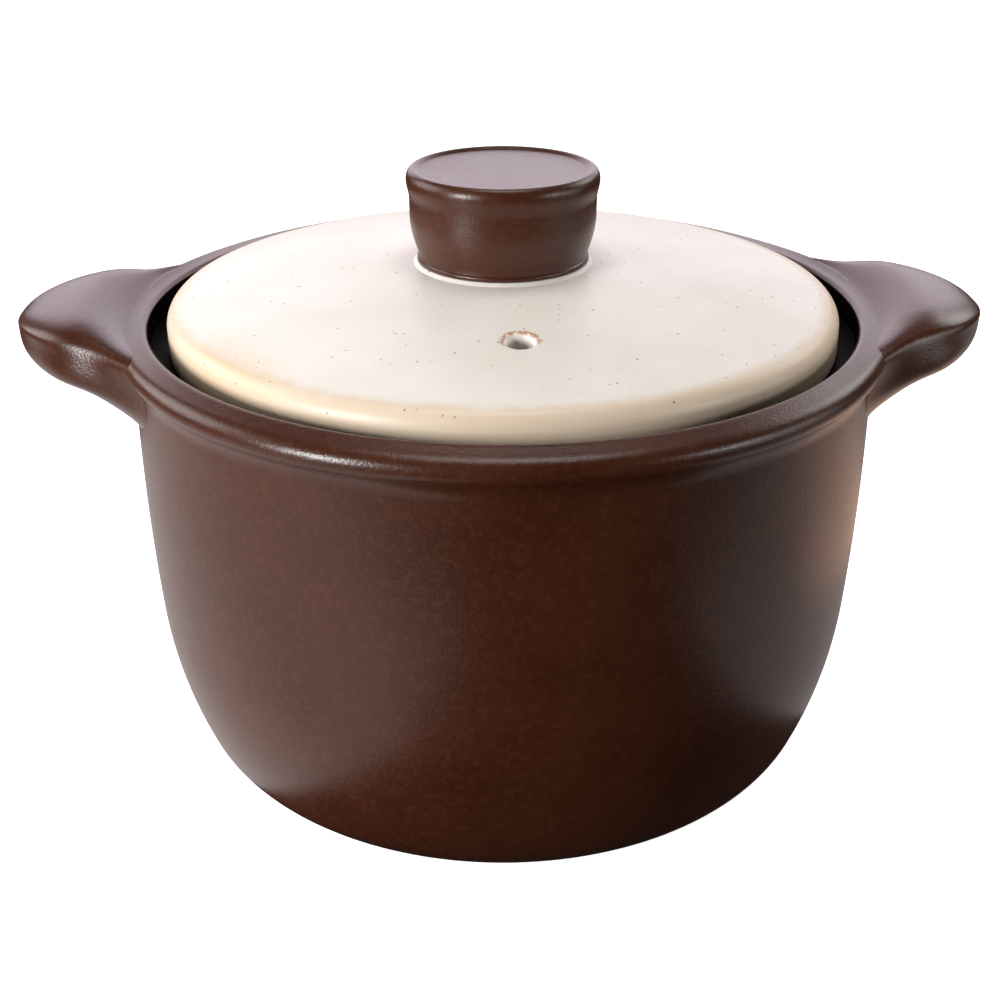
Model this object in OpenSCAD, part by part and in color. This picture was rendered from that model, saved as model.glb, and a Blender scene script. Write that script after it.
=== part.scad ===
// Covered ceramic casserole: a thrown pot with two wing lugs, and a loose domed lid with a knob.
// Millimetres. The origin is the middle of the foot, on the table. The lugs point along X.
// The pot is a revolved wall with a collared rim and an inner ledge. The lid drops inside the
// rim and rests on the ledge. The lugs are luted to the wall and the knob is luted to the lid.

/* [Pot wall] */
// Height of the pot, from the table to the rim
pot_h = 152; // [145:1:170]
// Outer diameter of the straight upper wall
wall_d = 235; // [226:1:250]
// Thickness of the wall and of the floor
wall_t = 7; // [5:0.5:9]
// Radius of the long curve where the wall starts to draw in
flank_r = 770; // [700:10:850]
// How far the long curve turns, in degrees
flank_turn = 4.3; // [3:0.1:5]
// Radius of the belly
belly_r = 144; // [130:1:150]
// Slope at which the belly passes into the heel, in degrees
belly_turn = 22; // [19:0.5:24]
// Radius of the heel, where the belly turns under
heel_r = 24; // [20:1:28]

/* [Foot] */
// Height of the unglazed foot ring
foot_h = 1.5; // [1:0.1:3]
// How far the foot ring stands in from the end of the heel
foot_inset = 3; // [1:0.5:8]
// Width of the foot ring
foot_w = 7; // [4:0.5:12]
// Chamfer on both edges of the foot ring
foot_chamfer = 0.6; // [0.2:0.1:0.9]

/* [Rim] */
// Width of the flat rim, from the mouth to the outside of the collar
rim_w = 9.5; // [8:0.5:12]
// How far the collar stands out from the wall
collar_out = 4; // [2:0.5:5]
// Rounding of the upper edge of the collar
collar_edge_r = 2.5; // [1:0.1:2.8]
// Straight side of the collar, between its two roundings
collar_side = 0.5; // [0.2:0.1:3]
// Rounding of the lower edge of the collar
collar_under_r = 2; // [2:0.1:4]
// Hollow curve that leads from the collar back into the wall
collar_cove_r = 4; // [4:0.5:8]
// Rounding of the inner edge of the rim
mouth_edge_r = 1.8; // [0.8:0.1:2.5]

/* [Lid ledge] */
// Depth of the ledge below the rim
ledge_drop = 8.5; // [6:0.5:12]
// Width of the ledge
ledge_w = 10; // [8:0.5:12]
// Thickness of the ledge at its inner edge
ledge_t = 3; // [2:0.5:5]
// Rounding of the inner edge of the ledge
ledge_edge_r = 1; // [0.4:0.1:1.4]
// Height of the slope under the ledge
ledge_under_h = 12; // [8:1:20]

/* [Lugs] */
// How far a lug reaches out from the collar
lug_reach = 32; // [24:0.5:40]
// Width of a lug beyond its root curves
lug_w = 76.5; // [56:0.5:80]
// Further half width that the root curves add where the lug meets the rim
lug_root_flare = 20; // [10:1:30]
// Reach of the root curves along the lug
lug_root_len = 9; // [6:1:20]
// How far the flat top rises above the rim on its way out
lug_lift = 5.1; // [0:0.1:6]
// Depth of the rounded upper edge, from the flat top to the widest line
lug_edge_h = 7.6; // [5:0.2:8]
// Depth of the belly of the lug below the widest line at the wall
lug_root_t = 20.5; // [15:0.5:24]
// The same depth near the tip
lug_tip_t = 9.8; // [6:0.1:12]
// Fillet under the lug, down the wall
lug_under_fillet = 2.5; // [1:0.5:5]

/* [Lid] */
// Gap between the lid and the mouth, all round
lid_gap = 6; // [3:0.5:7]
// Height of the arris of the lid above the rim
lid_stand = 4.9; // [3:0.1:8]
// Thickness of the lid
lid_t = 6; // [5:0.5:7]
// Radius of the shallow dome
dome_r = 500; // [460:5:700]
// Rounding of the outer edge of the lid
lid_edge_r = 5.7; // [4:0.1:7]
// Slope of that rounding where it leaves the dome, in degrees
lid_edge_start = 25; // [20:1:35]
// Small rounding under the side of the lid
lid_foot_r = 1; // [0.4:0.1:1.5]

/* [Lid flange] */
// Running gap between the flange and the ledge
flange_gap = 1.5; // [1:0.1:2.5]
// Depth of the flange below its seat
flange_h = 5.5; // [3:0.5:8]
// Width of the flange
flange_w = 6; // [4:0.5:8]
// Rounding at the foot of the flange
flange_edge_r = 1.2; // [0.5:0.1:1.8]

/* [Steam vent] */
// Diameter of the steam vent
vent_d = 7.4; // [5:0.1:10]
// Diameter of its countersink on the dome
vent_sink_d = 11.6; // [10.4:0.1:14]
// Depth of the countersink
vent_sink_h = 1.9; // [1:0.1:2.5]
// Distance of the vent from the middle of the lid
vent_out = 66; // [50:1:80]
// How far the loose lid lies turned on its ledge, in degrees
lid_turn = 2; // [-10:1:10]

/* [Knob] */
// Height of the knob
knob_h = 29; // [24:0.5:36]
// Diameter of the knob at its foot
knob_foot_d = 54.2; // [48:0.2:56]
// Diameter of the swell in the upper half
knob_swell_d = 59.2; // [58:0.2:60]
// Diameter of the neck under the lip
knob_neck_d = 58.4; // [57:0.2:59]
// Diameter of the lip
knob_lip_d = 60.2; // [60:0.1:64]
// Rounding of the outside of the lip
knob_lip_r = 2.2; // [1.6:0.1:2.4]
// Half thickness of the bead round the foot
knob_bead_r = 0.9; // [0.6:0.1:1.1]
// Depth of the dished top
knob_dish_h = 0.9; // [0.5:0.1:1.5]
// Diameter of the flat of the dish
knob_dish_d = 51; // [44:0.5:52]
// Width of the raised seat round the foot of the knob
seat_w = 1.2; // [0.8:0.1:2]
// Height of that seat above the dome
seat_h = 0.9; // [0.5:0.1:1.5]

/* [Hidden] */

brown = [0.24, 0.13, 0.10];
cream = [0.93, 0.88, 0.80];

$fn = 96;
// Steps along a round stretch of an outline
arc_steps = 14;
// Steps along the dome and the long flank
long_steps = 22;
// Stations along a lug, points round each, and columns across its root face
lug_stations = 32;
lug_points = 44;
root_columns = 16;
// Play between the root face of a lug and the wall
luting = 0.05;

// Powers that shape the lug: 2 is an ellipse, more is squarer
top_square = 4.5;
under_square = 3.3;
end_square = 2.1;
under_end_square = 12;
// How suddenly the top rises beside the rim, and how hollow the root curves are
rise_power = 6;
flare_power = 1.4;
// Share of the reach over which the fillet under the lug runs out
fillet_share = 0.15;
// Heights on the knob, as shares of its height
knob_swell_share = 0.57;
knob_neck_share = 0.76;

wall_r = wall_d / 2;
inner_r = wall_r - wall_t;
collar_r = wall_r + collar_out;
mouth_r = collar_r - rim_w;
ledge_z = pot_h - ledge_drop;
ledge_r = mouth_r - ledge_w;

lid_r = mouth_r - lid_gap;
arris_r = lid_r - lid_edge_r * (1 - sin(lid_edge_start));
arris_z = pot_h + lid_stand;
dome_z = arris_z - sqrt(dome_r * dome_r - arris_r * arris_r);
flange_r = ledge_r - flange_gap;
flange_in_r = flange_r - flange_w;

knob_foot_r = knob_foot_d / 2;
seat_r = knob_foot_r + seat_w;
seat_z = dome_height(seat_r) + seat_h;

// Points of an arc about a centre, from angle a to angle b
function arc(middle, r, a, b, steps = arc_steps) =
    [for (i = [0:steps]) middle + r * [cos(a + (b - a) * i / steps), sin(a + (b - a) * i / steps)]];

// Height of the outside of the dome at a distance from its axis
function dome_height(r) = dome_z + sqrt(dome_r * dome_r - r * r);

// A hollow quarter curve that falls from 1 to 0 and lies flat at its end. Power 2 is a circle.
function run_out(x, power) = 1 - pow(1 - pow(1 - min(1, x), power), 1 / power);

// Squared-off ellipse: its height over a share of its half width
function squared(x, power) = sqrt(1 - pow(x, power));
function keep_sign(x, power) = sign(x) * pow(abs(x), power);

// The wall from the rim down: straight, long flank, belly, heel. All its curves are tangent,
// so the inside is the same curve with each radius less by the wall.
flank_mid = wall_r - flank_r;
belly_mid = flank_mid + (flank_r - belly_r) * cos(flank_turn);
heel_mid = belly_mid + (belly_r - heel_r) * cos(belly_turn);
heel_z = foot_h + heel_r;
belly_z = heel_z + (belly_r - heel_r) * sin(belly_turn);
flank_z = belly_z + (flank_r - belly_r) * sin(flank_turn);

function wall_curve(inset) = concat(
    arc([flank_mid, flank_z], flank_r - inset, 0, -flank_turn, long_steps),
    arc([belly_mid, belly_z], belly_r - inset, -flank_turn, -belly_turn, long_steps),
    arc([heel_mid, heel_z], heel_r - inset, -belly_turn, -90));

// The collar: a rounded upper edge, a short side, and an S of two curves back into the wall
collar_bend = acos(1 - collar_out / (collar_under_r + collar_cove_r));
collar_low = pot_h - collar_edge_r - collar_side;
cove_z = collar_low - (collar_under_r + collar_cove_r) * sin(collar_bend);

collar_curve = concat(
    arc([collar_r - collar_edge_r, pot_h - collar_edge_r], collar_edge_r, 90, 0),
    arc([collar_r - collar_under_r, collar_low], collar_under_r, 0, -collar_bend),
    arc([wall_r + collar_cove_r, cove_z], collar_cove_r, 180 - collar_bend, 180));

outside = concat(collar_curve, wall_curve(0));

// The foot ring under the heel, and the shallow hollow inside it
foot_r = heel_mid - foot_inset;
foot_outline = [
    [foot_r, foot_h],
    [foot_r, foot_chamfer],
    [foot_r - foot_chamfer, 0],
    [foot_r - foot_w + foot_chamfer, 0],
    [foot_r - foot_w, foot_chamfer],
    [foot_r - foot_w, foot_h],
    [0, foot_h]];

// The inside from the middle of the floor up to the ledge, and on to the mouth
ledge_low = ledge_z - ledge_t;
inside = concat(
    [[0, foot_h + wall_t]],
    [for (i = [len(wall_curve(wall_t)) - 1:-1:0]) wall_curve(wall_t)[i]],
    [[inner_r, ledge_low - ledge_under_h]],
    arc([ledge_r + ledge_edge_r, ledge_low + ledge_edge_r], ledge_edge_r, 225, 180, 4),
    arc([ledge_r + ledge_edge_r, ledge_z - ledge_edge_r], ledge_edge_r, 180, 90, 6),
    [[mouth_r, ledge_z]],
    arc([mouth_r + mouth_edge_r, pot_h - mouth_edge_r], mouth_edge_r, 180, 90, 8));

module pot_body() {
    color(brown) rotate_extrude() polygon(concat(outside, foot_outline, inside));
}

// Radius of the outside of the pot at a height, read from its own outline
outside_table = [for (p = outside) [p[1], p[0]]];
function outside_r(z) = lookup(z, outside_table);

// A lug is lofted outwards from the wall. s runs from 0 at the wall to 1 at the tip, and the
// angle a runs round the section, with the flat top at 90 and the underside at 270.
tip_r = collar_r + lug_reach;

function lug_mid_z(s) = pot_h - lug_edge_h + lug_lift * (1 - pow(1 - s, rise_power));
function lug_under(s) =
    (lug_root_t + (lug_tip_t - lug_root_t) * s) * squared(s, under_end_square)
    + lug_under_fillet * run_out(s / fillet_share, 2);
function lug_half_w(s, a) =
    lug_w / 2 * squared(s, end_square)
    + lug_root_flare * (1 + sin(a)) / 2 * run_out(s * lug_reach / lug_root_len, flare_power);

function lug_z(s, a) = sin(a) >= 0
    ? lug_mid_z(s) + lug_edge_h * squared(s, end_square) * keep_sign(sin(a), 2 / top_square)
    : lug_mid_z(s) + lug_under(s) * keep_sign(sin(a), 2 / under_square);

function lug_side(s, a) =
    lug_half_w(s, a) * keep_sign(cos(a), 2 / (sin(a) >= 0 ? top_square : under_square));

function root_r(z) = outside_r(min(z, pot_h)) + luting;

function lug_point(s, a) =
    let (root = root_r(lug_z(0, a)),
         r = root + (tip_r - root) * s,
         side = lug_side(s, a))
    [sqrt(r * r - side * side), side, lug_z(s, a)];

// Stations crowd together at the wall and at the tip, where the lug turns fastest
function station(i) = (1 - cos(180 * i / lug_stations)) / 2;
function round_angle(j) = 90 + 360 * j / lug_points;

// A point of the root face: on the wall, between the two edge points of row j
function root_point(j, i) =
    let (edge = lug_point(0, round_angle(j)),
         half = atan2(edge[1], edge[0]),
         turn = half * (1 - 2 * i / root_columns),
         r = root_r(edge[2]))
    [r * cos(turn), r * sin(turn), edge[2]];

half_points = lug_points / 2;
tip_point = [tip_r, 0, lug_mid_z(1)];
skin_points = [for (i = [0:lug_stations - 1]) for (j = [0:lug_points - 1])
    lug_point(station(i), round_angle(j))];
root_points = [for (j = [1:half_points - 1]) for (i = [1:root_columns - 1]) root_point(j, i)];
tip_index = len(skin_points) + len(root_points);

function skin(i, j) = i * lug_points + j % lug_points;
function face_of_root(j, i) =
    i == 0 ? skin(0, j)
    : i == root_columns ? skin(0, lug_points - j)
    : len(skin_points) + (j - 1) * (root_columns - 1) + i - 1;

skin_faces = [for (i = [0:lug_stations - 2]) for (j = [0:lug_points - 1])
    each [[skin(i, j), skin(i + 1, j + 1), skin(i, j + 1)],
          [skin(i, j), skin(i + 1, j), skin(i + 1, j + 1)]]];
tip_faces = [for (j = [0:lug_points - 1])
    [skin(lug_stations - 1, j), tip_index, skin(lug_stations - 1, j + 1)]];
root_faces = [for (j = [1:half_points - 2]) for (i = [0:root_columns - 1])
    each [[face_of_root(j, i), face_of_root(j + 1, i + 1), face_of_root(j, i + 1)],
          [face_of_root(j, i), face_of_root(j + 1, i), face_of_root(j + 1, i + 1)]]];
root_end_faces = [for (i = [0:root_columns - 1])
    each [[skin(0, 0), face_of_root(1, i), face_of_root(1, i + 1)],
          [skin(0, half_points), face_of_root(half_points - 1, i + 1),
           face_of_root(half_points - 1, i)]]];

module lug() {
    polyhedron(
        points = concat(skin_points, root_points, [tip_point]),
        faces = concat(skin_faces, tip_faces, root_faces, root_end_faces));
}

module right_handle() {
    color(brown) lug();
}

module left_handle() {
    color(brown) rotate([0, 0, 180]) lug();
}

// The lid: dome, arris, rounded edge, side, seat, flange, and a parallel underside
lid_side_z = arris_z - lid_edge_r * cos(lid_edge_start);
dome_slope = asin(arris_r / dome_r);
seat_slope = asin(seat_r / dome_r);
under_r = dome_r - lid_t;
under_slope = asin(flange_in_r / under_r);
flange_low = ledge_z - flange_h;

lid_outline = concat(
    [[0, seat_z], [knob_foot_r, seat_z]],
    arc([0, dome_z], dome_r, 90 - seat_slope, 90 - dome_slope, long_steps),
    arc([lid_r - lid_edge_r, lid_side_z], lid_edge_r, 90 - lid_edge_start, 0),
    arc([lid_r - lid_foot_r, ledge_z + lid_foot_r], lid_foot_r, 0, -90, 5),
    [[flange_r, ledge_z]],
    arc([flange_r - flange_edge_r, flange_low + flange_edge_r], flange_edge_r, 0, -90, 5),
    arc([flange_in_r + flange_edge_r, flange_low + flange_edge_r], flange_edge_r, -90, -180, 5),
    arc([0, dome_z], under_r, 90 - under_slope, 90, long_steps));

module lid() {
    color(cream) difference() {
        rotate_extrude() polygon(lid_outline);
        rotate([0, 0, lid_turn]) translate([0, -vent_out, 0]) vent();
    }
}

// The steam vent: a straight bore with a countersink, which runs on above the sloping dome
module vent() {
    top = dome_height(vent_out);
    translate([0, 0, top - 2 * lid_t]) cylinder(d = vent_d, h = 3 * lid_t);
    translate([0, 0, top - vent_sink_h])
        cylinder(d1 = vent_d, d2 = 2 * vent_sink_d - vent_d, h = 2 * vent_sink_h);
}

module knob() {
    color(brown) translate([0, 0, seat_z]) rotate_extrude() polygon(knob_outline);
}

// The knob: bead, groove, swelling side, neck, lip, and a dished top
bead_z = knob_bead_r;
swell_z = knob_h * knob_swell_share;
neck_z = knob_h * knob_neck_share;
side_z = 3 * knob_bead_r;
groove_r = knob_foot_r - knob_bead_r / 2;
lip_z = knob_h - knob_lip_r;
crest_r = knob_lip_d / 2 - knob_lip_r;
dish_r = knob_dish_d / 2;

// A smooth step between two radii, as a share of a quarter or a half wave
function swell(t) = groove_r + (knob_swell_d / 2 - groove_r) * sin(90 * t);
function ease(a, b, t) = a + (b - a) * (1 - cos(180 * t)) / 2;

knob_outline = concat(
    [[0, 0], [knob_foot_r - knob_bead_r, 0]],
    arc([knob_foot_r - knob_bead_r, bead_z], knob_bead_r, -90, 60, 8),
    [for (i = [0:arc_steps]) [swell(i / arc_steps), side_z + (swell_z - side_z) * i / arc_steps]],
    [for (i = [1:arc_steps]) [ease(knob_swell_d, knob_neck_d, i / arc_steps) / 2,
        swell_z + (neck_z - swell_z) * i / arc_steps]],
    [for (i = [1:arc_steps]) [ease(knob_neck_d, knob_lip_d, i / arc_steps) / 2,
        neck_z + (lip_z - neck_z) * i / arc_steps]],
    arc([crest_r, lip_z], knob_lip_r, 0, 90),
    [for (i = [1:arc_steps]) [crest_r + (dish_r - crest_r) * i / arc_steps,
        ease(knob_h, knob_h - knob_dish_h, i / arc_steps)]],
    [[0, knob_h - knob_dish_h]]);

pot_body();
left_handle();
right_handle();
lid();
knob();
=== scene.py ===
# %% [markdown]
# # A covered stoneware pot
#
# The object is a thrown pot with two wing lugs and a loose domed lid. The packed CAD model gives
# the frame: its bodies, its joint and its true size in metres. This script lays a finely shaped
# and glazed skin over each of its pieces, and lights it the way a pot is shot in a studio.

from math import acos, asin, atan2, cos, degrees, pi, radians, sin, sqrt

import bmesh
import bpy
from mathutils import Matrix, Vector


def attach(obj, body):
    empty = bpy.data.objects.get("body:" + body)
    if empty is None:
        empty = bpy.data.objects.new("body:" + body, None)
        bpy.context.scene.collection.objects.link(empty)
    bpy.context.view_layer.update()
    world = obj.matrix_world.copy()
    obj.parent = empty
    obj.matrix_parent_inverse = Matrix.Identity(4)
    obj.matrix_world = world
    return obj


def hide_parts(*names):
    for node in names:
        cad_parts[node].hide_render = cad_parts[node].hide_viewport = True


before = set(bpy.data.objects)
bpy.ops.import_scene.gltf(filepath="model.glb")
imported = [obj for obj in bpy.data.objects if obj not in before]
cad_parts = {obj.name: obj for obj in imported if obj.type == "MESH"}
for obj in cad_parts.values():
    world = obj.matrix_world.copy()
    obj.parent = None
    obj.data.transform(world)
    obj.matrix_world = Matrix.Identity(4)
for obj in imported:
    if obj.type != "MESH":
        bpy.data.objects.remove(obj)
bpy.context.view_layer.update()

# %% [markdown]
# ## Working in millimetres
#
# Potters and drawings count in millimetres, and Blender counts in metres. All sizes below are in
# millimetres, and one factor turns them into metres at the moment that a point is placed.
#
# An operator works on all that is selected, and the frame arrives selected. So one helper
# deselects everything, and a second one picks a single piece.

# %% Units, and starting from a clear selection
MM = 0.001


def clear():
    """Goes to object mode, with nothing selected."""
    if bpy.context.object and bpy.context.object.mode != "OBJECT":
        bpy.ops.object.mode_set(mode="OBJECT")
    bpy.ops.object.select_all(action="DESELECT")


def only(piece):
    """Leaves one object selected and active, in object mode."""
    clear()
    piece.select_set(True)
    bpy.context.view_layer.objects.active = piece


clear()
print("selected now:", len(bpy.context.selected_objects), "objects")

# %% [markdown]
# ## Camera
#
# The photograph was taken from a little to the left of the plane between the lugs, about 25
# degrees down. Fitting the circles of rim, mouth, lid and knob gave the distance and the lens.
# The camera stands first, because lights are easier to place when counted from its side.

# %% Where the camera stands
CAMERA_TURN = 2.2
CAMERA_DROP = 25.375
CAMERA_DISTANCE = 540.0
AIM_HEIGHT = 82.4


def around(turn, rise, distance, height=AIM_HEIGHT):
    """A point seen from the pot: turn 0 is the camera's side and 90 the right of the picture."""
    heading = radians(turn - CAMERA_TURN)
    level = distance * cos(radians(rise))
    return Vector((level * sin(heading), -level * cos(heading),
                   height + distance * sin(radians(rise)))) * MM


def look_at_pot(thing):
    to_pot = Vector((0, 0, AIM_HEIGHT * MM)) - thing.location
    thing.rotation_euler = to_pot.to_track_quat("-Z", "Y").to_euler()


bpy.ops.object.camera_add(location=around(0, CAMERA_DROP, CAMERA_DISTANCE))
camera = bpy.context.object
camera.name = "studio_camera"
look_at_pot(camera)
bpy.context.scene.camera = camera
print("camera at", [round(v / MM) for v in camera.location], "mm")

# %% [markdown]
# A lens is given by its focal length in pixels of the picture, because that is what the fit
# yields. The picture's axis lies a few pixels beside the pot's, which is a small side shift.

# %% The lens
FOCAL_PIXELS = 1589.15
PICTURE_PIXELS = 1001
SENSOR_MM = 36.0
SIDE_SHIFT_PIXELS = 2.5
NEAREST_SEEN = 0.01

camera.data.sensor_width = SENSOR_MM
camera.data.lens = FOCAL_PIXELS * SENSOR_MM / PICTURE_PIXELS
camera.data.shift_x = -SIDE_SHIFT_PIXELS / PICTURE_PIXELS
camera.data.clip_start = NEAREST_SEEN
print("lens", round(camera.data.lens, 1), "mm, shift", round(camera.data.shift_x, 4))

# %% [markdown]
# ## Drawing a profile
#
# A pot is a profile turned on a wheel. The profile is a chain of points, each a distance from
# the axis and a height. Long stretches are arcs, so one helper gives the points of an arc.

# %% Points of an arc


def arc(middle, r, start, end, steps):
    """Points on an arc round middle, from one angle to another, both in degrees."""
    turns = [radians(start + (end - start) * i / steps) for i in range(steps + 1)]
    return [(middle[0] + r * cos(t), middle[1] + r * sin(t)) for t in turns]


print("a quarter circle:", [(round(r, 2), round(z, 2)) for r, z in arc((0, 0), 1, 0, 90, 3)])

# %% [markdown]
# ## Turning it
#
# The profile could be spun with the Screw modifier. Here it is spun with the Spin operator, as a
# wheel does it: a plane is merged to one vertex, that vertex is extruded from point to point,
# and the chain is turned once round Z. Its ends lie on the axis, so merging closes the poles.

# %% Turn a profile into a piece
WHEEL_STEPS = 192
WELD = 0.005


def turned(name, chain, segments=WHEEL_STEPS):
    """A closed piece, turned from a chain that starts and ends on the axis."""
    clear()
    bpy.ops.mesh.primitive_plane_add(size=MM, location=(0, 0, 0))
    piece = bpy.context.object
    piece.name = piece.data.name = name
    bpy.ops.object.mode_set(mode="EDIT")
    bpy.ops.mesh.select_all(action="SELECT")
    bpy.ops.mesh.merge(type="CENTER")
    bpy.ops.transform.translate(value=(chain[0][0] * MM, 0, chain[0][1] * MM))
    for (r0, z0), (r1, z1) in zip(chain, chain[1:]):
        stretch = ((r1 - r0) * MM, 0, (z1 - z0) * MM)
        bpy.ops.mesh.extrude_region_move(TRANSFORM_OT_translate={"value": stretch})
    bpy.ops.mesh.select_all(action="SELECT")
    bpy.ops.mesh.spin(steps=segments, angle=2 * pi, center=(0, 0, 0), axis=(0, 0, 1))
    bpy.ops.mesh.select_all(action="SELECT")
    bpy.ops.mesh.remove_doubles(threshold=WELD * MM)
    bpy.ops.mesh.normals_make_consistent(inside=False)
    bpy.ops.object.mode_set(mode="OBJECT")
    return piece


print("one round of the wheel takes", WHEEL_STEPS, "steps of", 360 / WHEEL_STEPS, "degrees")

# %% [markdown]
# A potter goes over the wet clay with a sponge, which rounds each corner that is left. A Bevel
# modifier does that where it is wanted. Shading is then smoothed, except over real edges.

# %% Sponge the corners
SPONGED_ABOVE, BEVEL_SEGMENTS = 24, 3


def finish_mesh(piece, sharp_above, bevel=0):
    """Rounds the corners by bevel millimetres, and shades edges up to sharp_above degrees."""
    only(piece)
    if bevel:
        bpy.ops.object.modifier_add(type="BEVEL")
        soft = piece.modifiers[-1]
        soft.width = bevel * MM
        soft.segments = BEVEL_SEGMENTS
        soft.limit_method = "ANGLE"
        soft.angle_limit = radians(SPONGED_ABOVE)
        bpy.ops.object.modifier_apply(modifier=soft.name)
    bpy.ops.object.shade_smooth_by_angle(angle=radians(sharp_above))
    print(piece.name, len(piece.data.polygons), "faces,",
          [round(v / MM, 1) for v in piece.dimensions], "mm")


print("corners of more than", SPONGED_ABOVE, "degrees can be rounded")

# %% [markdown]
# ## The pot
#
# The wall goes straight down from the rim, then draws in along a long flank, a belly and a heel,
# each curve tangent to the next. The inside is the same curve, nearer the axis by the thickness
# of the wall. The rim has a collar outside and a ledge inside, on which the lid rests.
#
# Sizes that end in _r are radii, in _d diameters, in _w widths, in _h heights and in _t
# thicknesses, and those that end in _turn or _start are degrees. Named like this they can be
# changed one by one, as on a drawing.

# %% Sizes of the pot
pot_h, wall_r, wall_t = 152.0, 117.5, 7.0
flank_r, flank_turn = 770.0, 4.3
belly_r, belly_turn = 144.0, 22.0
heel_r = 24.0
foot_h, foot_inset, foot_w, foot_chamfer = 1.5, 3.0, 7.0, 0.6
rim_w, mouth_edge_r = 9.5, 1.8
collar_out, collar_sink = 4.0, 1.2
collar_edge_r, collar_edge_tall, collar_edge_start = 5.0, 1.1, 66
collar_under_r, collar_cove_r = 2.5, 8.0
ledge_drop, ledge_w, ledge_t, ledge_edge_r, ledge_under_h = 8.5, 10.0, 3.0, 1.0, 12.0

inner_r = wall_r - wall_t
collar_r = wall_r + collar_out
mouth_r = collar_r - rim_w
ledge_z = pot_h - ledge_drop
ledge_r = mouth_r - ledge_w
print("mouth", 2 * mouth_r, "mm wide, over the collar", 2 * collar_r, "mm")

# %% [markdown]
# Tangent arcs share a line through both centres. So each centre follows from its neighbour's,
# and no point has to be typed in.

# %% Profile of the wall
flank_mid = wall_r - flank_r
belly_mid = flank_mid + (flank_r - belly_r) * cos(radians(flank_turn))
heel_mid = belly_mid + (belly_r - heel_r) * cos(radians(belly_turn))
heel_z = foot_h + heel_r
belly_z = heel_z + (belly_r - heel_r) * sin(radians(belly_turn))
flank_z = belly_z + (flank_r - belly_r) * sin(radians(flank_turn))


def wall_curve(inset):
    """Flank, belly and heel, from the top down, inset millimetres inside the outer face."""
    return (arc((flank_mid, flank_z), flank_r - inset, 0, -flank_turn, 12)
            + arc((belly_mid, belly_z), belly_r - inset, -flank_turn, -belly_turn, 12)[1:]
            + arc((heel_mid, heel_z), heel_r - inset, -belly_turn, -90, 16)[1:])


print("the wall is straight down to", round(flank_z, 1), "mm above the table")

# %% [markdown]
# The collar is a rounded band. Its upper edge is a little taller than a circle, as the photo
# shows, and a cove leads from its underside back to the wall.

# %% Profile of the collar
collar_bend = degrees(acos(1 - collar_out / (collar_under_r + collar_cove_r)))
collar_low = pot_h - collar_sink - collar_edge_r * collar_edge_tall
cove_z = collar_low - (collar_under_r + collar_cove_r) * sin(radians(collar_bend))
round_edge = arc((collar_r - collar_edge_r, collar_low), collar_edge_r, collar_edge_start, 0, 14)
collar = ([(r, collar_low + (z - collar_low) * collar_edge_tall) for r, z in round_edge]
          + arc((collar_r - collar_under_r, collar_low), collar_under_r, 0, -collar_bend, 10)
          + arc((wall_r + collar_cove_r, cove_z), collar_cove_r, 180 - collar_bend, 180, 12)[1:])
outside = collar + wall_curve(0)
print("the collar ends", round(pot_h - cove_z, 1), "mm below the mouth")

# %% [markdown]
# The pot stands on a narrow ring, so that it doesn't rock. Inside, the ledge has a short cone
# under it, which lets the thrower draw it out of the wall. Both are hidden in the photo and
# follow common practice.

# %% Profiles of foot and inside
foot_r = heel_mid - foot_inset
foot_in_r = foot_r - foot_w
foot = [(foot_r, foot_h), (foot_r, foot_chamfer), (foot_r - foot_chamfer, 0),
        (foot_in_r + foot_chamfer, 0), (foot_in_r, foot_chamfer), (foot_in_r, foot_h),
        (0, foot_h)]

ledge_low = ledge_z - ledge_t
ledge_lip = ledge_r + ledge_edge_r
inside = ([(0, foot_h + wall_t)] + wall_curve(wall_t)[::-1]
          + [(inner_r, ledge_low - ledge_under_h)]
          + arc((ledge_lip, ledge_low + ledge_edge_r), ledge_edge_r, 225, 180, 4)
          + arc((ledge_lip, ledge_z - ledge_edge_r), ledge_edge_r, 180, 90, 6)
          + [(mouth_r, ledge_z)]
          + arc((mouth_r + mouth_edge_r, pot_h - mouth_edge_r), mouth_edge_r, 180, 90, 10))
print("foot ring from", round(foot_in_r, 1), "to", round(foot_r, 1), "mm from the axis")

# %% [markdown]
# The chain runs from the middle of the foot up the outside, over the rim and down the inside.
# The top of the rim gets a few rings of its own, because it is bent later beside the lugs.

# %% Throw the pot
RIM_RINGS = 5
mouth_top = (mouth_r + mouth_edge_r, pot_h)
rim_top = [tuple(a + (b - a) * i / RIM_RINGS for a, b in zip(outside[0], mouth_top))
           for i in range(1, RIM_RINGS)]
pot = turned("pot_glazed", foot[::-1] + outside[::-1] + rim_top + inside[::-1])
finish_mesh(pot, sharp_above=40, bevel=0.5)

# %% [markdown]
# ## The lugs
#
# Each lug is pulled from a lump of clay that is luted to the rim. Its sides flare into the wall,
# and its underside ends in a fillet. A plain block with bevels would leave hard corners at the
# root. A grid is wrapped round instead: one way it runs from the rim to the tip, the other way
# round the section, which is a squared ellipse.
#
# The higher a "square" below, the squarer the section or the outline. The sides swell out under
# the edge by shoulder_out. The other three shoulder sizes are depths below the top of the lug.

# %% Sizes of a lug
lug_reach, lug_w, lug_lift = 31.8, 80.0, 6.0
lug_edge_h, lug_root_t, lug_tip_t, lug_belly = 7.6, 20.5, 9.8, 5.5
lug_root_flare, lug_root_len, flare_power, front_flare_cut = 19.0, 11.0, 1.4, 0.2
lug_under_fillet, fillet_share, fillet_power = 2.5, 0.15, 2
top_square, under_square, end_square, under_end_square = 4.2, 3.3, 2.1, 12
shoulder_out, shoulder_from, shoulder_full, shoulder_end = 3.8, 8.0, 16.0, 27.0
tip_r = collar_r + lug_reach
print("over the lugs", 2 * tip_r, "mm")

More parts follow.
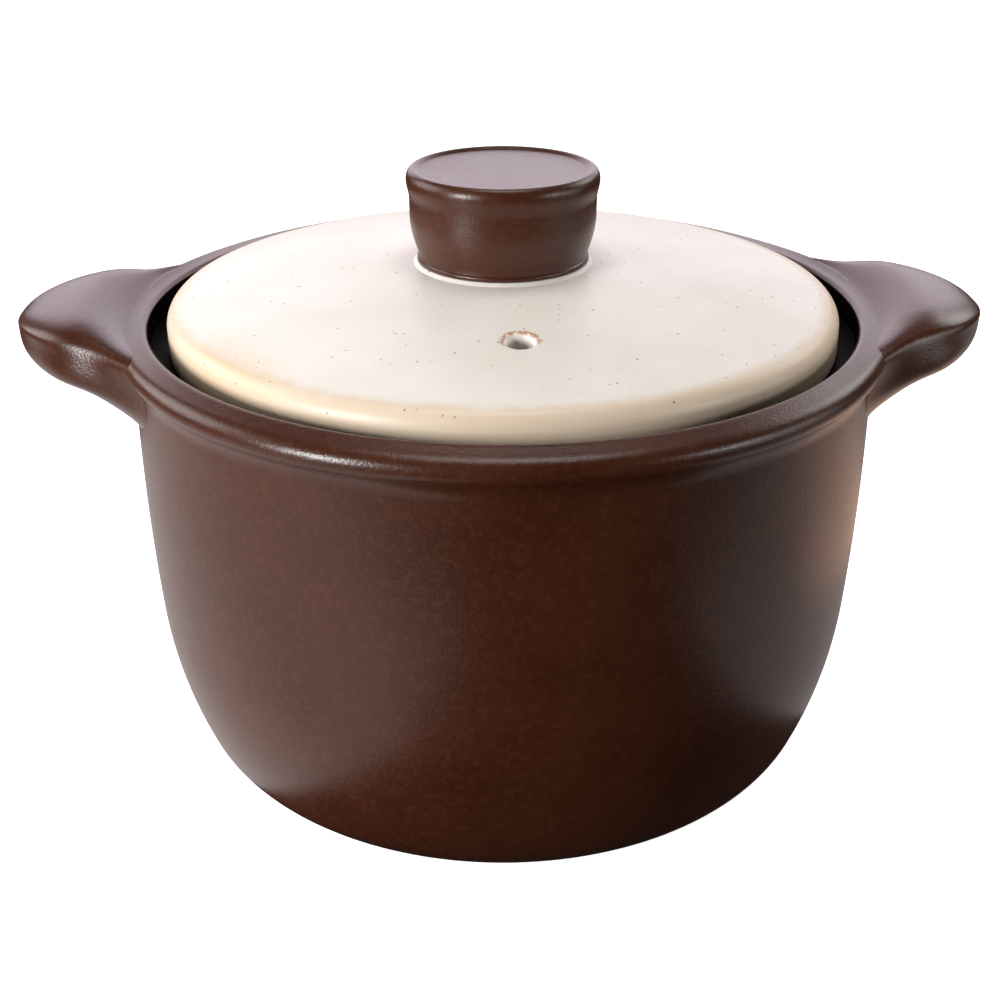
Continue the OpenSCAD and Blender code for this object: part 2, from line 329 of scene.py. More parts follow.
# %% [markdown]
# The potter's thumb draws the rim up beside each lug, so its top runs on over the rim with no
# groove between them. The same rise is given to the lug and to the rim of the pot. On the rim it
# is full near the middle of the lug and gone some way round.

# %% Draw the rim up beside the lugs
rise_from, rise_to = mouth_r + mouth_edge_r, 134.0
rise_full_turn, rise_none_turn = 14.0, 40.0
past_rim = 8.0


def ease(x, low, high):
    """Goes smoothly from 0 at low to 1 at high."""
    x = min(1, max(0, (x - low) / (high - low)))
    return x * x * (3 - 2 * x)


def axis_distance(co):
    return sqrt(co.x ** 2 + co.y ** 2) / MM


def on_collar(co):
    """1 on the collar and above it, 0 on the wall below."""
    return ease(co.z / MM, cove_z - 1, collar_low)


def rise(r, turn):
    """Rise of the top above the plain rim, turn degrees away from the middle of a lug."""
    beside = 1 - ease(abs(turn), rise_full_turn, rise_none_turn)
    share = beside + (1 - beside) * ease(r, collar_r - collar_edge_r, collar_r + past_rim)
    return lug_lift * ease(r, rise_from, rise_to) * share


only(pot)
for v in pot.data.vertices:
    turn = degrees(atan2(abs(v.co.y), abs(v.co.x)))
    v.co.z += rise(axis_distance(v.co), turn) * on_collar(v.co) * MM
print("the rim rises by", round(rise(collar_r, 0), 1), "mm beside a lug")

# %% [markdown]
# The root of a lug follows the outside of the pot, and its top follows the slope of the rim. Two
# helpers read these from the profile, so lug and pot can't come apart when a size is changed.

# %% What the root has to follow


def outside_r(z):
    """Radius of the outside of the pot at a height."""
    for (r0, z0), (r1, z1) in zip(outside, outside[1:]):
        if z1 <= z <= z0 and z0 > z1:
            return r0 + (r1 - r0) * (z0 - z) / (z0 - z1)
    return outside[0][0] if z > pot_h - collar_edge_r else outside[-1][0]


def rim_drop(r):
    """How far the top of the rim lies below the mouth, as it slopes outwards."""
    edge_r, edge_z = outside[0]
    share = min(1, max(0, (r - rise_from) / (edge_r - rise_from)))
    return (pot_h - edge_z) * share * (1 - ease(r, edge_r, edge_r + past_rim))


print("the rim drops by", round(rim_drop(outside[0][0]), 2), "mm towards its outer edge")

# %% [markdown]
# Three curves give a lug its form: how deep it is above and below its widest line, how wide it
# is, and how far its shoulder swells. Each depends on s, which is 0 at the root and 1 at the tip.

# %% Depth, width and shoulder of a lug
FRONT_SIDE, UPPER_SIDE = (-0.3, 0.3), (-0.6, 0.4)
SWELL_GROWS, SWELL_FADES = (0.05, 0.4), (0.55, 0.9)


def run_out(x, power):
    """A fillet's curve, from 1 at the root down to 0 where x reaches 1."""
    return 1 - (1 - (1 - min(1, x)) ** power) ** (1 / power)


def closing(s, square):
    """Goes from 1 at the root to 0 at the tip. The higher square is, the later it closes."""
    return sqrt(max(0, 1 - s ** square))


def lug_depth(s, up):
    """Depth of the section above or below its widest line, which climbs towards the tip."""
    low = lug_belly * (1 - s)
    if up >= 0:
        return lug_edge_h * closing(s, end_square) + low
    thick = lug_root_t + (lug_tip_t - lug_root_t) * s
    return thick * closing(s, under_end_square) \
        + lug_under_fillet * run_out(s / fillet_share, fillet_power) - low


def lug_half_width(s, up, forward):
    """Half the width. The flare of the root fades downwards, and is less at the top in front."""
    cut = front_flare_cut * ease(forward, *FRONT_SIDE) * ease(up, *UPPER_SIDE)
    flare = lug_root_flare * (1 - cut) * (1 + up) / 2
    return lug_w / 2 * closing(s, end_square) \
        + flare * run_out(s * lug_reach / lug_root_len, flare_power)


def shoulder(s, depth):
    """How far the sides swell out at a depth below the top."""
    swell = min(1, max(0, (depth - shoulder_from) / (shoulder_full - shoulder_from)))
    return shoulder_out * swell * (1 - ease(depth, shoulder_full, shoulder_end)) \
        * ease(s, *SWELL_GROWS) * (1 - ease(s, *SWELL_FADES))


for s in (0, 0.5, 1):
    print("lug at", s, "- width", round(2 * lug_half_width(s, 0, 0), 1),
          "depth", round(lug_depth(s, 1) + lug_depth(s, -1), 1), "mm")

# %% [markdown]
# One point of the lug combines them. The top is an overlay: it starts on the rim, a hair above
# it, where both surfaces run the same way. All other rows start inside the wall, so the piece
# is closed and no gap shows at the root.

# %% One point of a lug
root_sink = 1.5
overlay, overlay_r, overlay_low, overlay_high = 0.04, 114.4, 1.6, 0.1


def keep_sign(x, power):
    """A power of a number that may be negative."""
    return abs(x) ** power * (1 if x >= 0 else -1)


def lug_point(along, turn, front):
    """along runs from 0 in the rim to 1 at the tip, and turn goes round the section. front is
    the sign of the side that faces the camera."""
    across, up = cos(turn), sin(turn)
    square = 2 / (top_square if up >= 0 else under_square)
    root_z = pot_h - lug_edge_h - lug_belly + lug_depth(0, up) * keep_sign(up, square)
    root = outside_r(min(root_z, pot_h))
    on_top = ease(root_z, pot_h - overlay_low, pot_h - overlay_high)
    start = (root - root_sink) * (1 - on_top) + overlay_r * on_top
    r = start + (tip_r - start) * along
    s = max(0, (r - root) / (tip_r - root))
    depth = lug_edge_h + lug_belly * (1 - s) - lug_depth(s, up) * keep_sign(up, square)
    half = lug_half_width(s, up, across * front) + shoulder(s, depth)
    side = half * keep_sign(across, square)
    lie = (overlay if along > 0 else -2 * overlay) - rim_drop(r)
    z = pot_h - depth + rise(r, degrees(asin(min(1, abs(side) / r)))) + on_top * lie
    return sqrt(max(0, r * r - side * side)), side, z


print("the tip lies at", [round(c, 1) for c in lug_point(1, 0, -1)], "mm")

# %% [markdown]
# A plane grid is wrapped round by moving its vertices. Its long edges meet and are merged, and
# the open root is filled with a grid of faces, which is then bent to lie inside the wall.

# %% Wrap a grid into a lug
STATIONS, ROUND = 56, 96
LUG_WELD = 0.002


def wrap_grid(name, way):
    """Makes one lug, with way 1 on the right and -1 on the left, and leaves it in edit mode."""
    clear()
    bpy.ops.mesh.primitive_grid_add(x_subdivisions=ROUND, y_subdivisions=STATIONS,
                                    size=1, location=(0, 0, 0))
    lug = bpy.context.object
    lug.name = lug.data.name = name
    for v in lug.data.vertices:
        column, row = round((v.co.x + 0.5) * ROUND), round((v.co.y + 0.5) * STATIONS)
        x, y, z = lug_point((1 - cos(pi * row / STATIONS)) / 2, 2 * pi * column / ROUND, -way)
        v.co = (way * x * MM, way * y * MM, z * MM)
    bpy.ops.object.mode_set(mode="EDIT")
    bpy.ops.mesh.select_all(action="SELECT")
    bpy.ops.mesh.remove_doubles(threshold=LUG_WELD * MM)
    bpy.ops.mesh.select_all(action="DESELECT")
    bpy.ops.mesh.select_mode(type="EDGE")
    bpy.ops.mesh.select_non_manifold()
    bpy.ops.mesh.fill_grid()
    return lug


def sink_root(lug):
    """Bends the faces that close the root to the curve of the wall in which they are hidden."""
    bm = bmesh.from_edit_mesh(lug.data)
    root_faces = [f for f in bm.faces if f.select]
    edge = {v for f in bm.faces if not f.select for v in f.verts}
    for v in {v for f in root_faces for v in f.verts} - edge:
        r = outside_r(min(v.co.z / MM, pot_h)) - root_sink
        v.co.x, v.co.y = [c * r * MM / sqrt(v.co.x ** 2 + v.co.y ** 2) for c in v.co.xy]
    bmesh.update_edit_mesh(lug.data)
    print(lug.name, "root is closed by", len(root_faces), "faces")


print("a lug is wrapped from", STATIONS * ROUND, "faces")

# %% [markdown]
# Wet fingers leave no edge on a lug. The Smooth modifier does the same, as strong as a vertex
# group says: nothing on the rim, where lug and pot have to agree, and more at the front corner
# of the root, where three surfaces meet. Applying a modifier makes the groups anew, which leaves
# Python's hold on them empty, so their names are read before the first one is applied.

# %% Smooth a lug
ALL_ROUNDS, CORNER_ROUNDS, SMOOTHING = 14, 70, 0.5
off_the_rim = (collar_r, collar_r + 7)
corner_starts, corner_ends = (collar_r - 5, collar_r), (collar_r + 6, collar_r + 20)
corner_forward, corner_up = (24, 36), (pot_h - 14, pot_h - 8)


def corner_share(co):
    """1 at the front corner of the root, and less round it."""
    r = axis_distance(co)
    return ease(r, *corner_starts) * (1 - ease(r, *corner_ends)) \
        * ease(-co.y / MM, *corner_forward) * ease(co.z / MM, *corner_up)


def smooth_lug(lug):
    away = lug.vertex_groups.new(name="away_from_the_rim")
    corner = lug.vertex_groups.new(name="front_corner")
    for v in lug.data.vertices:
        away.add([v.index], ease(axis_distance(v.co), *off_the_rim), "REPLACE")
        corner.add([v.index], corner_share(v.co), "REPLACE")
    plan = {away.name: ALL_ROUNDS, corner.name: CORNER_ROUNDS}
    for group_name, rounds in plan.items():
        bpy.ops.object.modifier_add(type="SMOOTH")
        soft = lug.modifiers[-1]
        soft.factor, soft.iterations, soft.vertex_group = SMOOTHING, rounds, group_name
        bpy.ops.object.modifier_apply(modifier=soft.name)


def make_lug(name, way):
    lug = wrap_grid(name, way)
    sink_root(lug)
    bpy.ops.mesh.select_mode(type="VERT")
    bpy.ops.mesh.select_all(action="SELECT")
    bpy.ops.mesh.normals_make_consistent(inside=False)
    bpy.ops.object.mode_set(mode="OBJECT")
    smooth_lug(lug)
    return lug


right_lug = make_lug("right_lug_glazed", 1)
left_lug = make_lug("left_lug_glazed", -1)
print("two lugs of", len(left_lug.data.vertices), "vertices each")

# %% [markdown]
# In the photo the top of the rim slopes outwards at the front, and looks level at the back. So
# the slope is taken back behind the pot, by the same amount on rim and lugs.

# %% Level the back of the rim
back_from, back_full = -0.3, 0.4
for piece in (pot, right_lug, left_lug):
    for v in piece.data.vertices:
        r = axis_distance(v.co)
        if r > rise_from:
            behind = ease(v.co.y / MM / r, back_from, back_full)
            v.co.z += rim_drop(r) * behind * on_collar(v.co) * MM
for lug in (right_lug, left_lug):
    finish_mesh(lug, sharp_above=60)

# %% [markdown]
# ## The lid
#
# The lid is a shallow dome with an arris, a rounded edge and a flange that keeps it on the
# ledge. A raised seat carries the knob. All of that is one profile, turned like the pot.

# %% Sizes of the lid
lid_gap, lid_stand, lid_t, dome_r = 6.0, 4.9, 6.0, 500.0
lid_edge_r, lid_edge_start, lid_foot_r = 5.7, 25.0, 1.0
flange_gap, flange_h, flange_w, flange_edge_r = 1.5, 5.5, 6.0, 1.2
knob_foot_d, seat_w, seat_h = 54.2, 1.2, 0.9

lid_r = mouth_r - lid_gap
arris_r = lid_r - lid_edge_r * (1 - sin(radians(lid_edge_start)))
arris_z = pot_h + lid_stand
dome_z = arris_z - sqrt(dome_r ** 2 - arris_r ** 2)


def dome_height(r):
    return dome_z + sqrt(dome_r ** 2 - r ** 2)


knob_foot_r = knob_foot_d / 2
seat_r = knob_foot_r + seat_w
seat_z = dome_height(seat_r) + seat_h
flange_r = ledge_r - flange_gap
flange_in_r = flange_r - flange_w
flange_low = ledge_z - flange_h
under_r = dome_r - lid_t
lid_side_z = arris_z - lid_edge_r * cos(radians(lid_edge_start))
print("lid", 2 * lid_r, "mm wide, its dome", round(dome_height(0) - arris_z, 1), "mm high")

# %% [markdown]
# The chain runs from the seat of the knob down over the dome and round the edge, along the face
# that rests on the ledge, round the flange and back under the dome.

# %% Throw the lid


def slope(r, dome):
    """Angle on the dome at a distance from the axis."""
    return 90 - degrees(asin(r / dome))


lid_chain = (
    [(0, seat_z), (knob_foot_r, seat_z)]
    + arc((0, dome_z), dome_r, slope(seat_r, dome_r), slope(arris_r, dome_r), 28)
    + arc((lid_r - lid_edge_r, lid_side_z), lid_edge_r, 90 - lid_edge_start, 0, 14)
    + arc((lid_r - lid_foot_r, ledge_z + lid_foot_r), lid_foot_r, 0, -90, 6)
    + [(flange_r, ledge_z)]
    + arc((flange_r - flange_edge_r, flange_low + flange_edge_r), flange_edge_r, 0, -90, 6)
    + arc((flange_in_r + flange_edge_r, flange_low + flange_edge_r), flange_edge_r, -90, -180, 6)
    + arc((0, dome_z), under_r, slope(flange_in_r, under_r), 90, 24))
lid = turned("lid_glazed", lid_chain)
print("the lid's profile has", len(lid_chain), "points")

# %% [markdown]
# The steam vent is pierced after throwing, so it is cut with a Boolean modifier. It has a soft
# mouth, because the glaze rounds it. The tool that cuts it is turned as well: a straight bore
# that flares with a quarter circle until it is level with the dome, and reaches a little past
# the clay on both sides.

# %% Pierce the steam vent
vent_r, vent_mouth_r, vent_out, lid_turn = 3.7, 5.8, 66.0, 2.0
vent_flare = vent_mouth_r - vent_r
clear_r = vent_mouth_r + 1
punch = turned("punch", [(0, -2 * lid_t), (vent_r, -2 * lid_t)]
               + arc((vent_mouth_r, -vent_flare), vent_flare, 180, 90, 10)
               + [(clear_r, 0.2), (clear_r, 3), (0, 3)], segments=64)
only(punch)
vent_angle = radians(lid_turn)
vent_x, vent_y = vent_out * sin(vent_angle), -vent_out * cos(vent_angle)
punch.rotation_euler = (asin(vent_out / dome_r), 0, vent_angle)
punch.location = Vector((vent_x, vent_y, dome_height(vent_out))) * MM
only(lid)
bpy.ops.object.modifier_add(type="BOOLEAN")
cut = lid.modifiers[-1]
cut.operation = "DIFFERENCE"
cut.solver = "EXACT"
cut.object = punch
bpy.ops.object.modifier_apply(modifier=cut.name)
only(punch)
bpy.ops.object.delete()
finish_mesh(lid, sharp_above=30)

# %% [markdown]
# ## The knob
#
# The knob is a flat-topped drum with a thin bead at its foot, a slight swell, a neck and a lip
# round a dished top. Its side is drawn with smooth waves between these widths, because straight
# lines would show as rings in the glaze.

# %% Sizes of the knob
knob_h, knob_swell_d, knob_neck_d, knob_lip_d = 29.0, 58.5, 58.6, 60.4
knob_lip_r, knob_lip_tall = 2.2, 1.5
knob_swell_share, knob_neck_share = 0.5, 0.68
knob_bead_r, knob_bead_turn, knob_dish_h, knob_dish_d = 0.9, 60, 0.9, 51.0

groove_r = knob_foot_r - knob_bead_r / 2
side_z = 3 * knob_bead_r
swell_z, neck_z = knob_h * knob_swell_share, knob_h * knob_neck_share
lip_z = knob_h - knob_lip_r * knob_lip_tall
crest_r, dish_r = knob_lip_d / 2 - knob_lip_r, knob_dish_d / 2
print("knob", knob_h, "mm high, neck", knob_neck_d, "mm, lip", knob_lip_d, "mm")

# %% [markdown]
# The chain starts under the knob on its seat and ends in the middle of the dish. The lip is an
# arc that is stretched upwards.

# %% Turn the knob
WAVE_STEPS = 14
shares = [i / WAVE_STEPS for i in range(WAVE_STEPS + 1)]


def wave(a, b, share):
    """A smooth step from a to b."""
    return a + (b - a) * (1 - cos(pi * share)) / 2


def side(low_d, high_d, low_z, high_z):
    """The side of the knob between two widths, without its first point."""
    return [(wave(low_d, high_d, t) / 2, low_z + (high_z - low_z) * t) for t in shares[1:]]


bead = knob_foot_r - knob_bead_r
lip = arc((crest_r, lip_z), knob_lip_r, 0, 90, WAVE_STEPS)[1:]
knob_chain = (
    [(0, 0), (bead, 0)]
    + arc((bead, knob_bead_r), knob_bead_r, -90, knob_bead_turn, 8)
    + [(groove_r + (knob_swell_d / 2 - groove_r) * sin(pi / 2 * t),
        side_z + (swell_z - side_z) * t) for t in shares]
    + side(knob_swell_d, knob_neck_d, swell_z, neck_z)
    + side(knob_neck_d, knob_lip_d, neck_z, lip_z)
    + [(r, lip_z + (z - lip_z) * knob_lip_tall) for r, z in lip]
    + [(crest_r + (dish_r - crest_r) * t, wave(knob_h, knob_h - knob_dish_h, t))
       for t in shares[1:]]
    + [(0, knob_h - knob_dish_h)])
knob = turned("knob_glazed", [(r, z + seat_z) for r, z in knob_chain], segments=144)
finish_mesh(knob, sharp_above=50)

# %% [markdown]
# ## Writing shader sums as Python
#
# A glaze is built from sums of noise. Wrapping a socket in a small class lets such a sum be
# written as an ordinary expression, and each operator adds the Math node that does it.

# %% Sockets that can be added and multiplied


class Value:
    def __init__(self, nodes, socket):
        self.nodes, self.socket = nodes, socket

    def math(self, operation, *values):
        return self.nodes.add("ShaderNodeMath", {"operation": operation},
                              dict(enumerate(values)))

    def __add__(self, other):
        return self.math("ADD", self, other)

    def __sub__(self, other):
        return self.math("SUBTRACT", self, other)

    def __rsub__(self, other):
        return self.math("SUBTRACT", other, self)

    def __mul__(self, other):
        return self.math("MULTIPLY", self, other)

    def __truediv__(self, other):
        return self.math("DIVIDE", self, other)

    def __rtruediv__(self, other):
        return self.math("DIVIDE", other, self)

    def __lt__(self, other):
        return self.math("LESS_THAN", self, other)

    def __gt__(self, other):
        return self.math("GREATER_THAN", self, other)

    __radd__, __rmul__ = __add__, __mul__

    def root(self):
        return self.math("SQRT", self)

    def smooth(self, low, high):
        """0 where the value is at low, 1 where it is at high, and smooth between them."""
        return self.nodes.add("ShaderNodeMapRange", {"interpolation_type": "SMOOTHSTEP"},
                              {0: self, 1: low, 2: high})

    def output(self, name):
        """Another output of the node that made this value."""
        return Value(self.nodes, self.socket.node.outputs[name])


print("besides + - * / < and >, a value knows",
      [name for name in vars(Value) if not name.startswith("_")])

# %% [markdown]
# Every other node comes from one method. It takes the type of the node, its settings, which are
# set first, and the numbers, colours or links of its sockets.

# %% One method for every node


class Nodes:
    def __init__(self, tree):
        self.tree = tree

    def feed(self, socket, value):
        if isinstance(value, Value):
            self.tree.links.new(value.socket, socket)
        elif isinstance(value, tuple) and socket.type == "RGBA":
            socket.default_value = (*value, 1)
        else:
            socket.default_value = value

    def add(self, kind, settings=None, inputs=None, out=0):
        made = self.tree.nodes.new(kind)
        for key, value in (settings or {}).items():
            setattr(made, key, value)
        for key, value in (inputs or {}).items():
            self.feed(made.inputs[key], value)
        return Value(self, made.outputs[out])


print("a node tree knows", [name for name in vars(Nodes) if name[0].islower()])

# %% [markdown]
# A glaze is one material. Patterns are placed by Object coordinates, in millimetres of the real
# pot, so that they stay on the clay when a piece moves. Specks are cells of a Voronoi texture:
# a random few of the cells hold a round speck of random size.

# %% A glaze


class Glaze(Nodes):
    SPECK_EDGE = (1.15, 0.75)

    def __init__(self, name, **uniform):
        self.material = bpy.data.materials.new(name)
        self.material.use_nodes = True
        super().__init__(self.material.node_tree)
        self.shader = self.tree.nodes["Principled BSDF"]
        self.place = self.add("ShaderNodeTexCoord", out="Object")
        self.use(**uniform)

    def use(self, **sockets):
        for socket, value in sockets.items():
            self.feed(self.shader.inputs[socket.replace("_", " ")], value)

    def split(self):
        """The place as three values, in millimetres."""
        parts = self.add("ShaderNodeSeparateXYZ", inputs={0: self.place})
        return [parts.output(i) * (1 / MM) for i in range(3)]

    def noise(self, size, detail=2.0, roughness=0.5):
        """Noise whose blots are about size millimetres across."""
        return self.add("ShaderNodeTexNoise", None, {
            "Vector": self.place, "Scale": 1 / (size * MM),
            "Detail": detail, "Roughness": roughness})

    def mix(self, share, first, second):
        return self.add("ShaderNodeMix", {"data_type": "RGBA"},
                        {0: share, 6: first, 7: second}, out=2)

    def specks(self, cell, share, spread):
        """1 inside a speck. share says how many cells hold one, and spread how wide it is."""
        cells = self.add("ShaderNodeTexVoronoi", None, {
            "Vector": self.place, "Scale": 1 / (cell * MM)}, out="Distance")
        luck = self.add("ShaderNodeSeparateColor", inputs={0: cells.output("Color")})
        radius = luck.output(1) * (spread / 2) + spread / 4
        return (luck < share) * (cells / radius).smooth(*self.SPECK_EDGE)

    def bump(self, height, distance):
        self.use(Normal=self.add("ShaderNodeBump", None, {
            "Height": height, "Distance": distance * MM, "Strength": 1.0}))


print("a glaze knows", [name for name in vars(Glaze) if name[0].islower()])

# %% [markdown]
# ## Brown glaze
#
# The pot, lugs and knob wear a satin iron glaze: nearly black in the shade, red-brown in the
# light, with the fine orange peel of sprayed glaze, which breaks a highlight into grains. The
# foot ring is wiped clean so that the pot does not stick in the kiln, and shows bare clay.

# %% Mix the brown glaze
BARE_CLAY = (0.42, 0.27, 0.17)
THICK_BROWN, THIN_BROWN = (0.046, 0.0110, 0.0037), (0.059, 0.0150, 0.0052)
RUST_FLECK = (0.105, 0.036, 0.015)
wiped_to, wiped_from = 0.6, 0.75

brown = Glaze("brown_glaze_finish", IOR=1.46)
peel = brown.noise(0.8, 2, 0.6)
pool = brown.noise(38, 3)
fleck = brown.noise(2.2, 3, 0.6)
dark_brown = brown.mix(pool.smooth(0.35, 0.65), THICK_BROWN, THIN_BROWN)
dark_brown = brown.mix(fleck.smooth(0.45, 0.75) * 0.35, dark_brown, RUST_FLECK)
height = brown.split()[2]
bare = (height + brown.noise(3.5) * 0.5).smooth(wiped_from, wiped_to)
brown.use(Base_Color=brown.mix(bare, dark_brown, BARE_CLAY),
          Roughness=0.31 + (peel - 0.5) * 0.10 + (pool - 0.5) * 0.08 + bare * 0.45)
brown.bump(peel + brown.noise(6) * 0.4, 0.085)
print(brown.material.name, "has", len(brown.tree.nodes), "nodes")

# %% [markdown]
# The gap round the lid shows only blackness, so the inside is coloured almost black: painted
# shade for the deep gap, which on the real pot is only in shadow. It reflects little, or the gap
# would shine.

# %% Mix the inside's painted shade, almost black
# Two near-black colours of painted shade, for the inside of the pot and the gap round the lid.
PAINTED_SHADE_DEEP, PAINTED_SHADE_PALE = (0.0022, 0.0012, 0.0009), (0.0045, 0.0022, 0.0016)

inside_painted_shade = Glaze("inside_painted_shade_finish", IOR=1.1, Specular_IOR_Level=0.1)
inside_shade_noise = inside_painted_shade.noise(24, 3)
inside_painted_shade.use(Base_Color=inside_painted_shade.mix(inside_shade_noise, PAINTED_SHADE_DEEP, PAINTED_SHADE_PALE),
                 Roughness=0.42 + (inside_shade_noise - 0.5) * 0.2)
inside_painted_shade.bump(inside_painted_shade.noise(0.55, 2, 0.55), 0.025)
print(inside_painted_shade.material.name, "has", len(inside_painted_shade.tree.nodes), "nodes")

# %% [markdown]
# ## Cream glaze
#
# The lid wears a matt cream glaze over a clay that holds iron. Where the glaze runs thin, at the
# edge of the lid, it turns ochre. One patch of the edge, on the left, is painted darker and more
# ochre: partly kiln flashing and partly painted shade. Clouds of noise keep the borders of these
# tones from looking drawn.

# %% Cream, the thin edge and the left patch of flashing and painted shade
CREAM_LOW, CREAM_HIGH = (0.835, 0.768, 0.700), (0.885, 0.832, 0.770)
THIN_OCHRE, FLASH_OCHRE_AND_SHADE = (0.66, 0.44, 0.22), (0.74, 0.50, 0.24)
thin_from, thin_full = 98.5, 104
flash_shade_x, flash_shade_y, flash_shade_far, flash_shade_near, flash_shade_rim = -80, -62, 30, 6, (88, 100)

cream = Glaze("cream_glaze_finish", IOR=1.5)
x, y, z = cream.split()


def distance_to(px, py):
    """Distance of a place on the lid from a point, seen from above."""
    dx, dy = x - px, y - py
    return (dx * dx + dy * dy).root()


out = distance_to(0, 0)
cloud = cream.noise(30, 3)
tone = cream.mix(cloud.smooth(0.3, 0.7), CREAM_LOW, CREAM_HIGH)
ragged_out = out + (cloud - 0.5) * 7 + (cream.noise(5, 3) - 0.5) * 3
thin = ragged_out.smooth(thin_from, thin_full)
tone = cream.mix(thin * 0.55, tone, THIN_OCHRE)
# Darker, ochre patch on the left edge of the lid: partly kiln flashing, partly painted shade.
ragged = distance_to(flash_shade_x, flash_shade_y) + (cream.noise(6, 4, 0.6) - 0.5) * 26
flash_and_shade = ragged.smooth(flash_shade_far, flash_shade_near) * (out + (cloud - 0.5) * 8).smooth(*flash_shade_rim)
tone = cream.mix(flash_and_shade * 0.30, tone, FLASH_OCHRE_AND_SHADE)
print("the lid turns ochre from", thin_from, "mm out, and ends at", lid_r, "mm")

# %% [markdown]
# The iron burns through as sparse brown specks, a few larger ones and many fine ones. Steam has
# stained the back of the vent's mouth, in a broken ring.

# %% Specks and the stain of the vent
IRON, FINE_IRON, STEAM_STAIN = (0.30, 0.15, 0.07), (0.42, 0.25, 0.13), (0.46, 0.18, 0.05)
stain_in, stain_full, stain_fade, stain_out = 4.3, 5.0, 5.8, 6.7
stain_back, gaps = (-3.5, 0.5), (0.36, 0.52)

tone = cream.mix(cream.specks(3.4, 0.45, 0.18) * 0.8, tone, IRON)
tone = cream.mix(cream.specks(1.6, 0.35, 0.18) * 0.5, tone, FINE_IRON)
near_vent = distance_to(vent_x, vent_y)
mottle = (cream.noise(1.8, 3) - 0.5) * 3
ring = (near_vent + mottle).smooth(stain_out, stain_fade) * near_vent.smooth(stain_in, stain_full)
at_the_back = (y - vent_y + mottle).smooth(*stain_back)
broken = cream.noise(1.1).smooth(*gaps)
tone = cream.mix(ring * at_the_back * broken * 0.85, tone, STEAM_STAIN)
print("the stain is a ring from", stain_in, "to", stain_out, "mm round the vent")

# %% [markdown]
# The seat of the lid is wiped clean like the foot of the pot, or the glaze would fuse the two in
# the kiln. So the face that rests on the ledge, and all below it, shows bare clay.

# %% Finish the cream glaze
seat_line = ledge_z + 0.2
glazed_from, bare_to = 0.6, 0.2
grain = cream.noise(0.8)
wiped = (z - seat_line).smooth(glazed_from, bare_to)
cream.use(Base_Color=cream.mix(wiped, tone, BARE_CLAY),
          Roughness=0.42 + (grain - 0.5) * 0.1 + wiped * 0.4)
cream.bump(grain + cream.noise(7) * 0.8, 0.025)
print(cream.material.name, "has", len(cream.tree.nodes), "nodes")

# %% [markdown]
# ## Put the finishes on and seat each piece on its body
#
# Each new piece stands for one node of the frame and moves with that node's body, so the lid
# and its knob lift off together.

# %% Finishes and bodies
for piece, node, body, glaze, slot in (
        (pot, "pot_body", "pot", brown, "brown_glaze"),
        (left_lug, "left_handle", "pot", brown, "brown_glaze"),
        (right_lug, "right_handle", "pot", brown, "brown_glaze"),
        (lid, "lid", "lid_body", cream, "cream_glaze"),
        (knob, "knob", "lid_body", brown, "brown_glaze")):
    piece.data.materials.clear()
    piece.data.materials.append(glaze.material)
    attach(piece, body)
    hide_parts(node)
    print(piece.name, "rides", body, "in", glaze.material.name)

# %% [markdown]
# The pot is one piece with two materials: the brown glaze, and the near-black painted shade of
# the inside. Its inner faces are found by their place and by the way that they face, and get the
# second material.

# %% Paint shade on the inside of the pot, down from the mouth
# The second slot holds the near-black painted shade of the inside.
INSIDE_SLOT = 1
pot.data.materials.append(inside_painted_shade.material)
for face in pot.data.polygons:
    middle = face.center
    within = axis_distance(middle) < mouth_r + 0.3
    between = foot_h + 1 < middle.z / MM < pot_h - mouth_edge_r / 2
    if within and between and face.normal.dot(Vector((-middle.x, -middle.y, 0.1))) > 0:
        face.material_index = INSIDE_SLOT
print("inside faces", sum(face.material_index for face in pot.data.polygons))

# %% [markdown]
# ## Floor
#
# The photograph is a pack shot on white. The floor shows as the same white without a horizon,
# because it glows a little. It is hidden from mirror and bounce rays: the glaze of the real pot
# doesn't mirror a white floor, only the patches of light that are added below.

# %% A pale sweep
FLOOR_SIZE, FLOOR_GLOW = 9, 0.9

clear()
bpy.ops.mesh.primitive_plane_add(size=FLOOR_SIZE, location=(0, 0, 0))
floor = bpy.context.object
floor.name = "pale_floor"
pale = Glaze("pale_floor_finish", Base_Color=(0.9, 0.9, 0.9), Roughness=0.9,
             Specular_IOR_Level=0.1, Emission_Color=(1.0, 1.0, 1.0),
             Emission_Strength=FLOOR_GLOW)
floor.data.materials.append(pale.material)
floor.visible_glossy = False
floor.visible_diffuse = False
print(floor.name, FLOOR_SIZE, "m square")

# %% [markdown]
# ## Lights
#
# A bright paper hangs behind the pot, which the flat tops mirror. The camera's side of the room
# is dark, so the wall that faces the camera stays nearly black. A big key light stands on the
# left, with a narrow box in front of it that draws the streak along the rim.

# %% Soft boxes


def softbox(name, turn, rise, distance, size, glow, colour=(1, 1, 1)):
    """A soft box. glow is how bright its face is, where 1 is the white of the page."""
    bpy.ops.object.light_add(type="AREA", location=around(turn, rise, distance))
    light = bpy.context.object
    light.name = light.data.name = name
    light.data.shape = "RECTANGLE"
    light.data.size, light.data.size_y = size[0] * MM, size[1] * MM
    light.data.energy = glow * pi * size[0] * size[1] * MM * MM
    light.data.color = colour
    light.visible_camera = False
    look_at_pot(light)
    print(name, round(light.data.energy, 2), "W")
    return light


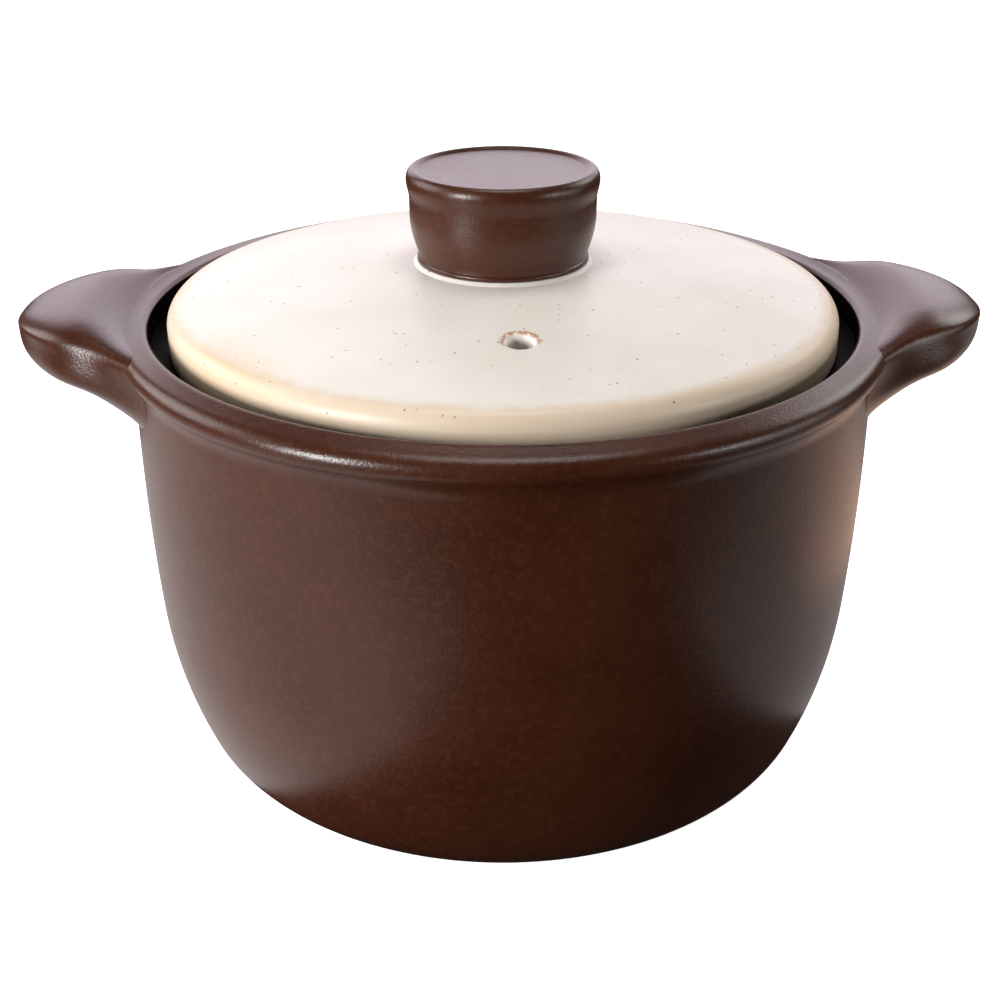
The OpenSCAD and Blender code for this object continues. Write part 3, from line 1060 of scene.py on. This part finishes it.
softbox("paper_behind", 182, 22, 1700, (2000, 1100), 2.08, (1.0, 0.895, 0.995))
softbox("top", 0, 89, 900, (480, 480), 4.2, (1.0, 0.98, 0.95))
softbox("key_left", -102, 23, 1000, (700, 520), 4.1, (1.0, 0.98, 0.98))
softbox("strip_left", -48, 13, 900, (150, 300), 55.0)
softbox("strip_right", 60, 16, 900, (150, 180), 13.0)
softbox("fill_right", 80, 8, 1000, (600, 400), 1.8)
softbox("kicker_right", 125, 32, 1000, (500, 400), 4.3, (1.0, 0.98, 0.96))

# %% [markdown]
# The lower wall leans outwards, so it mirrors the table on both sides of the pot. Lights that
# lie flat on the table and shine upwards stand for its lit patches. A small warm one on the
# right gives the coppery spot that the photo shows there.

# %% Lit patches of the table
TABLE_WHITE, TABLE_COPPER = (1.0, 0.94, 0.93), (1.0, 0.50, 0.28)


def lit_table(name, turn, distance, size, glow, colour, lift=2):
    patch = softbox(name, turn, 0, distance, size, glow, colour)
    patch.location = around(turn, 0, distance, lift)
    patch.rotation_euler = (pi, 0, radians(turn - CAMERA_TURN))


lit_table("table_left", -78, 310, (540, 430), 0.90, TABLE_WHITE)
lit_table("table_right", 112, 320, (560, 440), 0.46, TABLE_WHITE)
lit_table("table_warm", 108, 300, (190, 190), 0.72, TABLE_COPPER, lift=4)

# %% [markdown]
# The camera sees a white world behind the floor's edge, and everything else sees a room that is
# nearly dark, or the world would wash out the blacks of the glaze.

# %% The room
ROOM_GLOW = 0.02

world = bpy.data.worlds.new("studio")
bpy.context.scene.world = world
world.use_nodes = True
room = Nodes(world.node_tree)
page = world.node_tree.nodes["Background"]
room.feed(page.inputs["Color"], (1.0, 1.0, 1.0))
dark_room = room.add("ShaderNodeBackground", None,
                     {"Color": (1.0, 0.96, 0.95), "Strength": ROOM_GLOW})
seen = room.add("ShaderNodeLightPath", out="Is Camera Ray")
either = room.add("ShaderNodeMixShader", None,
                  {0: seen, 1: dark_room, 2: Value(room, page.outputs[0])})
room.feed(world.node_tree.nodes["World Output"].inputs[0], either)
bpy.context.scene.view_settings.view_transform = "Standard"
print("the world has", len(world.node_tree.nodes), "nodes")

# %% [markdown] ## Close
